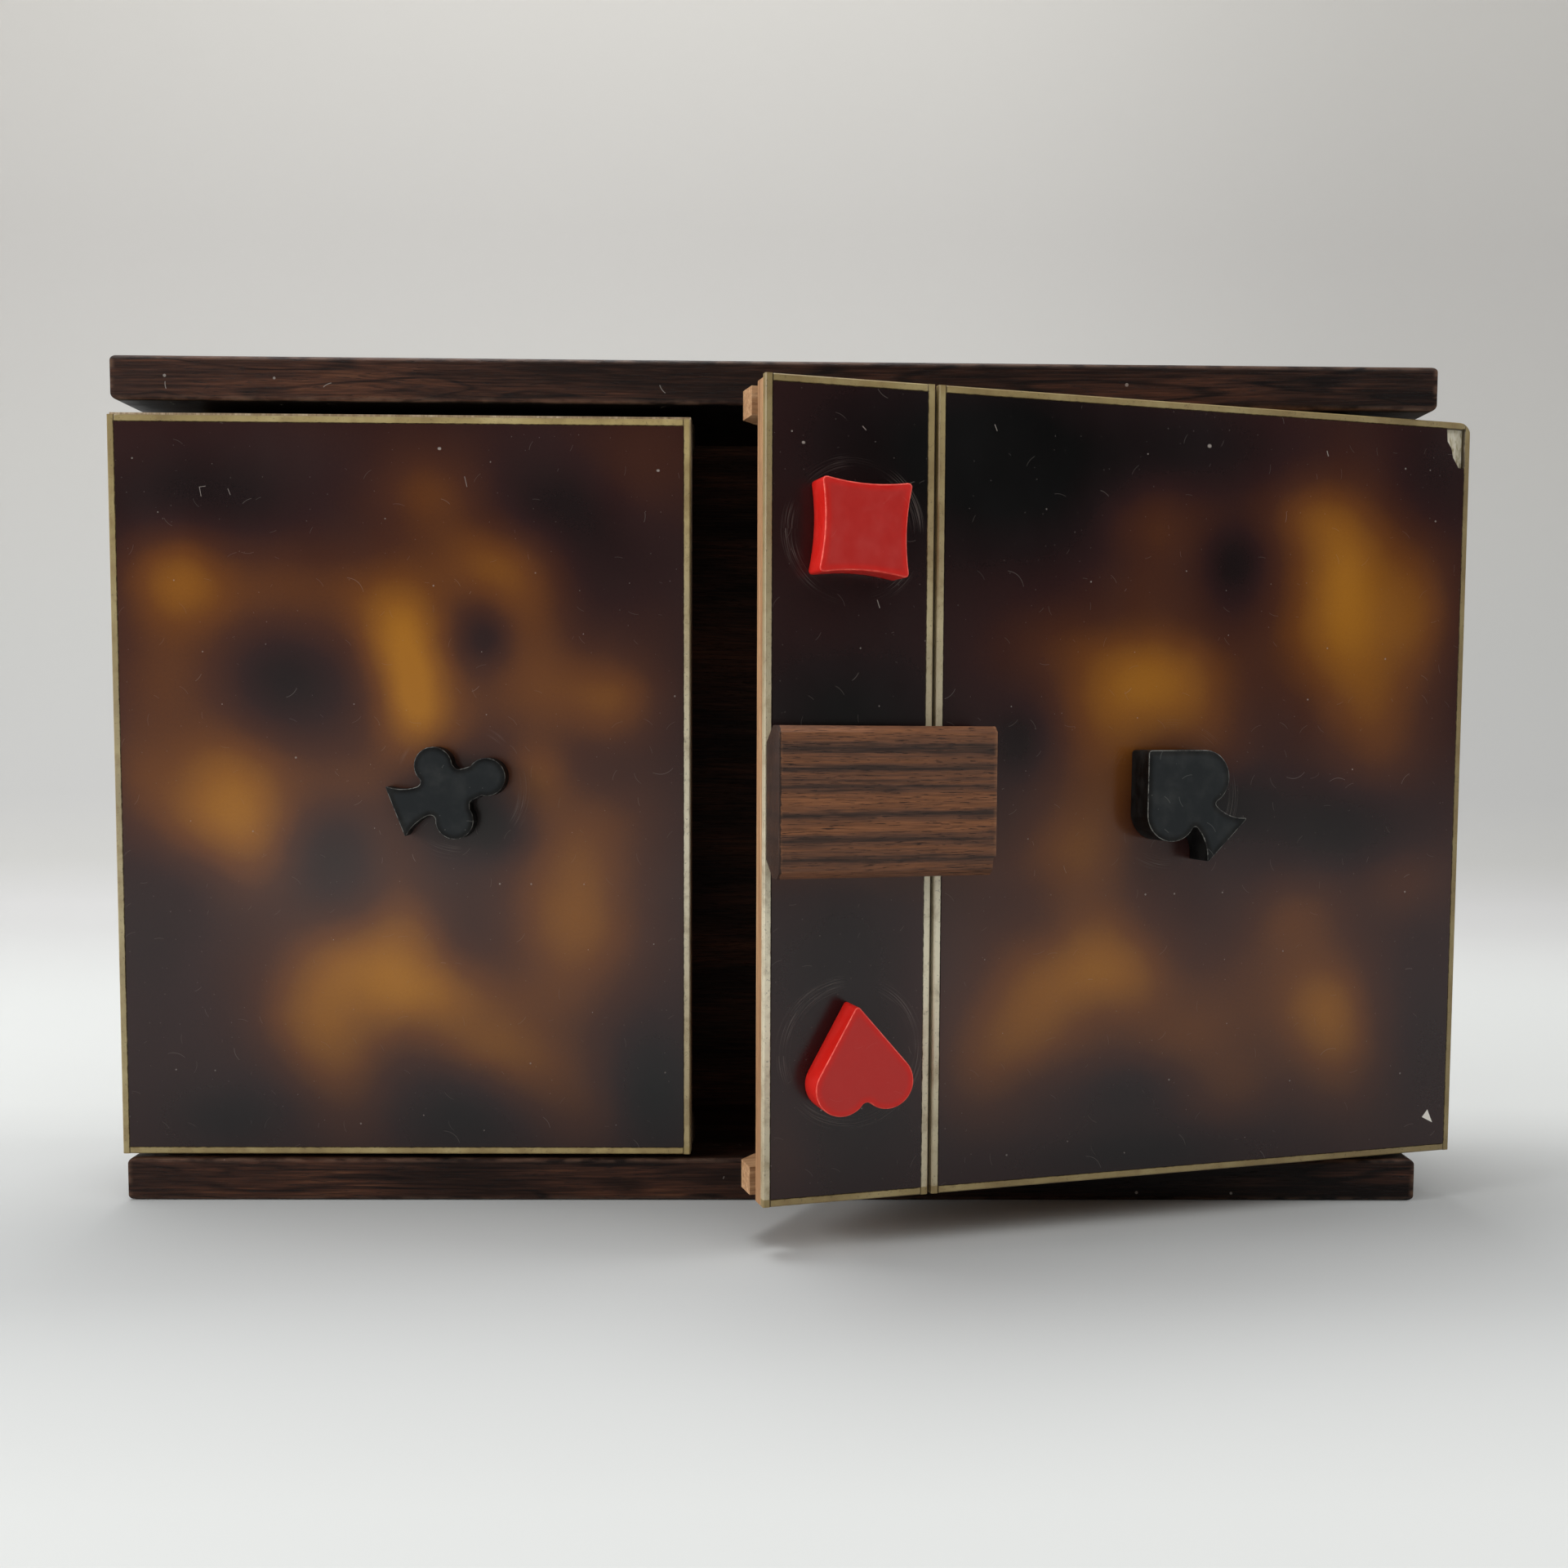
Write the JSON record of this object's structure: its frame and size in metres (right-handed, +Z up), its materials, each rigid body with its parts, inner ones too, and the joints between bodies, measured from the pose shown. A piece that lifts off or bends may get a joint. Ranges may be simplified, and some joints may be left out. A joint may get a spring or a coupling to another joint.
{
  "type": "playing card box",
  "caption": "Wooden card box whose doors, faced in mottled sheet with pale stringing, swing out on pins with the packs they hold; a turn-button locks them and the suit pieces turn.",
  "frame": {"origin": "middle of the bottom board's underside", "axes": "+Z up, +X to the right as seen from the doors, doors face -Y"},
  "size_m": [0.1804, 0.0689, 0.112],
  "materials": {
    "rosewood": "waxed, dark streaks along the boards",
    "button_wood": "worn, open grain",
    "limewood": "raw, sanded",
    "tortoiseshell": "mottled sheet, dark brown with amber patches",
    "cream": "pale stringing, grimy at its edges",
    "red": "smooth, softly worn",
    "black": "smooth, dusty",
    "brass": "dull"
  },
  "bodies": {
    "case": {"top_board": "rosewood", "bottom_board": "rosewood", "back_panel": "rosewood", "left_top_pivot": "brass", "left_bottom_pivot": "brass", "right_top_pivot": "brass", "right_bottom_pivot": "brass", "left_washer": "brass", "right_washer": "brass"},
    "left_leaf": {"left_end_wall": "rosewood", "left_core": "limewood", "left_top_shelf": "limewood", "left_bottom_shelf": "limewood", "left_tortoiseshell": "tortoiseshell", "left_outer_strip": "cream", "left_inner_strip": "cream", "left_top_strip": "cream", "left_bottom_strip": "cream"},
    "right_leaf": {"right_core": "limewood", "right_top_shelf": "limewood", "right_bottom_shelf": "limewood", "right_end_wall": "rosewood", "narrow_tortoiseshell": "tortoiseshell", "wide_tortoiseshell": "tortoiseshell", "narrow_free_strip": "cream", "narrow_inner_strip": "cream", "narrow_top_strip": "cream", "narrow_bottom_strip": "cream", "wide_inner_strip": "cream", "wide_outer_strip": "cream", "wide_top_strip": "cream", "wide_bottom_strip": "cream"},
    "turn_button": {"turn_button": "button_wood", "turn_button_screw": "brass"},
    "club": {"club": "black", "club_screw": "brass"},
    "diamond": {"diamond": "red", "diamond_screw": "brass"},
    "heart": {"heart": "red", "heart_screw": "brass"},
    "spade": {"spade": "black", "spade_screw": "brass"}
  },
  "joints": [
    {"name": "left_leaf_hinge", "type": "hinge", "parent": "case", "child": "left_leaf", "pos_m": [-0.08, 0, 0.05], "axis": [0, 0, -1], "range_deg": [0, 105]},
    {"name": "right_leaf_hinge", "type": "hinge", "parent": "case", "child": "right_leaf", "pos_m": [0.08, 0, 0.05], "axis": [0, 0, 1], "range_deg": [-17, 88]},
    {"name": "turn_button_pivot", "type": "hinge", "parent": "right_leaf", "child": "turn_button", "pos_m": [0.00895, -0.04159, 0.05535], "axis": [0.2924, -0.9563, 0], "continuous": true},
    {"name": "diamond_pivot", "type": "hinge", "parent": "right_leaf", "child": "diamond", "pos_m": [0.00934, -0.04147, 0.08735], "axis": [0.2924, -0.9563, 0], "continuous": true},
    {"name": "heart_pivot", "type": "hinge", "parent": "right_leaf", "child": "heart", "pos_m": [0.00934, -0.04147, 0.02475], "axis": [0.2924, -0.9563, 0], "continuous": true},
    {"name": "spade_pivot", "type": "hinge", "parent": "right_leaf", "child": "spade", "pos_m": [0.05055, -0.02887, 0.05575], "axis": [0.2924, -0.9563, 0], "continuous": true},
    {"name": "club_pivot", "type": "hinge", "parent": "left_leaf", "child": "club", "pos_m": [-0.0421, -0.019, 0.05575], "axis": [0, -1, 0], "continuous": true}
  ]
}
